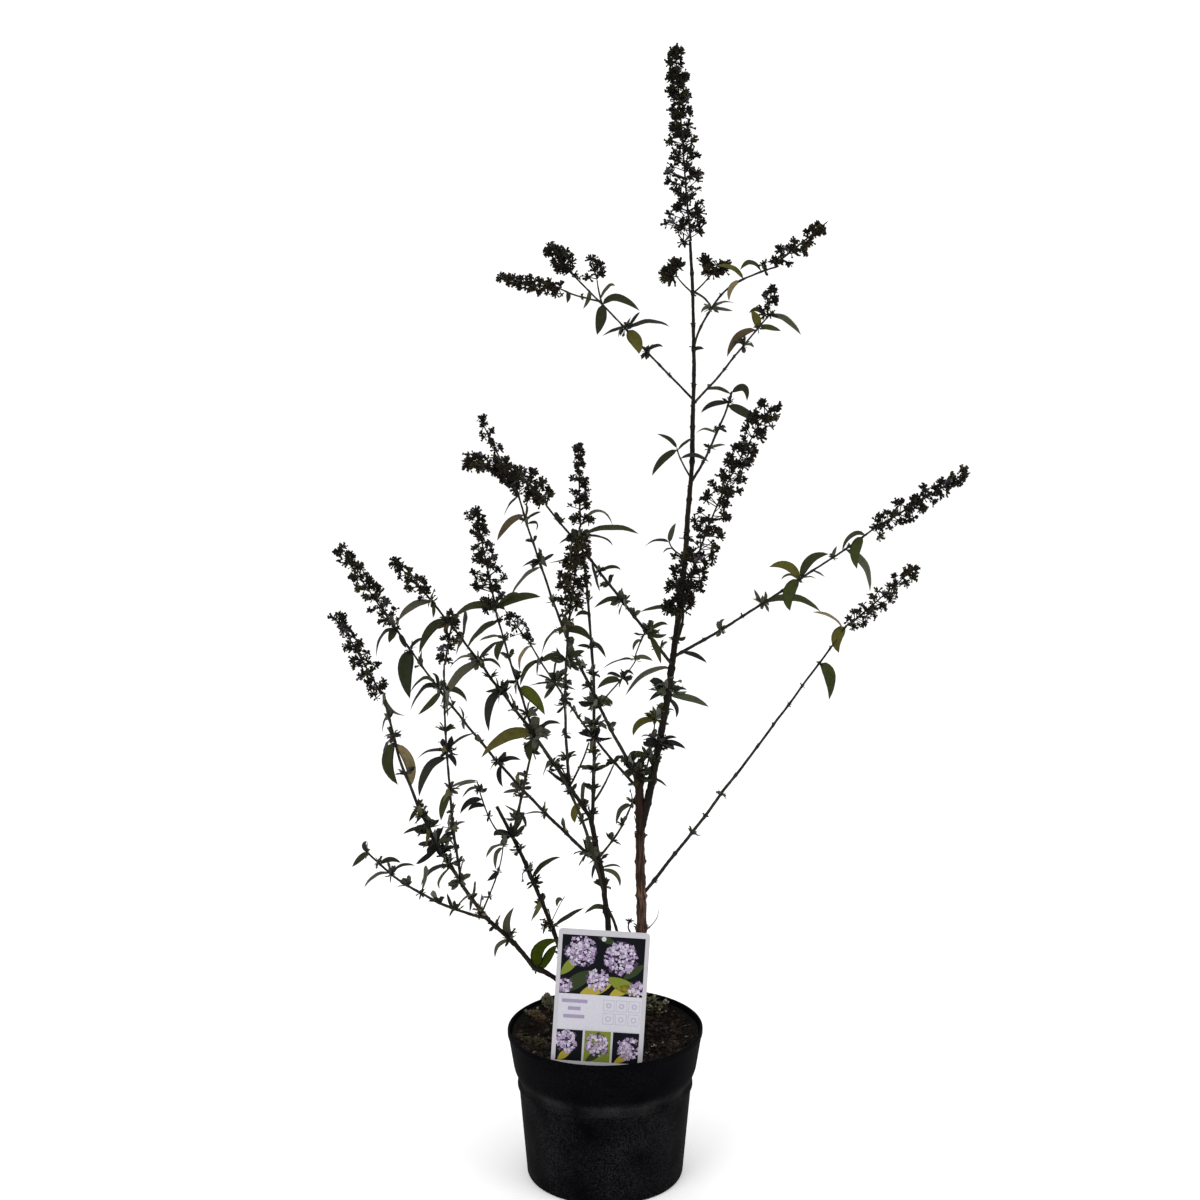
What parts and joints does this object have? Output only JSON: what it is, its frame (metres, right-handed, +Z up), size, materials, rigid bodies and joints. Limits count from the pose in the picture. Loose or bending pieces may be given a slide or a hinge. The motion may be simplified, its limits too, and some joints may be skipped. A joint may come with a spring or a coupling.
{
  "type": "potted butterfly bush",
  "caption": "Young butterfly bush past flowering, with slender arching boughs, spent flower spikes and sparse narrow leaves, in a black nursery pot of compost with a picture label.",
  "frame": {"origin": "centre of the pot's flat underside, on the ground", "axes": "+Z up the plant, -Y the front where the label stands, +X to the right seen from the front"},
  "size_m": [0.589, 0.3653, 1.074],
  "materials": {
    "pot": "dusty moulded black plastic",
    "compost": "damp crumbly bark compost",
    "label_card": "printed plastic card",
    "bark": "thin striped bark, grey brown to red brown",
    "spent_blossom": "dry dark brown seed heads",
    "foliage": "narrow dull green leaves"
  },
  "bodies": {
    "root": {"arching_bough": "bark", "arching_leaves": "foliage", "arching_spike": "spent_blossom", "back_shoot": "bark", "back_shoot_leaves": "foliage", "companion_bough": "bark", "compost": "compost", "crossing_bough": "bark", "crossing_spike": "spent_blossom", "cut_stem": "bark", "foot_leaves": "foliage", "forward_left_spike": "spent_blossom", "high_right_bough": "bark", "high_right_spike": "spent_blossom", "inner_bough": "bark", "inner_head": "spent_blossom", "inner_left_leaves": "foliage", "leader": "bark", "left_bough": "bark", "left_spike": "spent_blossom", "low_left_bough": "bark", "low_left_leaves": "foliage", "low_right_bough": "bark", "low_right_leaves": "foliage", "low_right_spike": "spent_blossom", "low_stem": "bark", "middle_stem": "bark", "nodding_bough": "bark", "nodding_spike": "spent_blossom", "paired_side_heads": "spent_blossom", "picture_label": "label_card", "pot": "pot", "rising_bough": "bark", "rising_leaves": "foliage", "rising_spike": "spent_blossom", "short_right_bough": "bark", "short_right_leaves": "foliage", "slanting_spike": "spent_blossom", "slender_bough": "bark", "slender_spike": "spent_blossom", "straight_bough": "bark", "straight_spike": "spent_blossom", "thin_bough": "bark", "thin_spike": "spent_blossom", "top_left_bough": "bark", "top_left_fork": "bark", "top_left_leaves": "foliage", "top_left_spike": "spent_blossom", "top_right_bough": "bark", "top_right_head": "spent_blossom", "top_right_leaves": "foliage", "top_spike": "spent_blossom", "trunk": "bark", "trunk_top_leaves": "foliage", "upper_left_bough": "bark", "upper_left_leaves": "foliage", "upper_left_spike": "spent_blossom", "upright_bough": "bark", "upright_spike": "spent_blossom"}
  },
  "joints": []
}
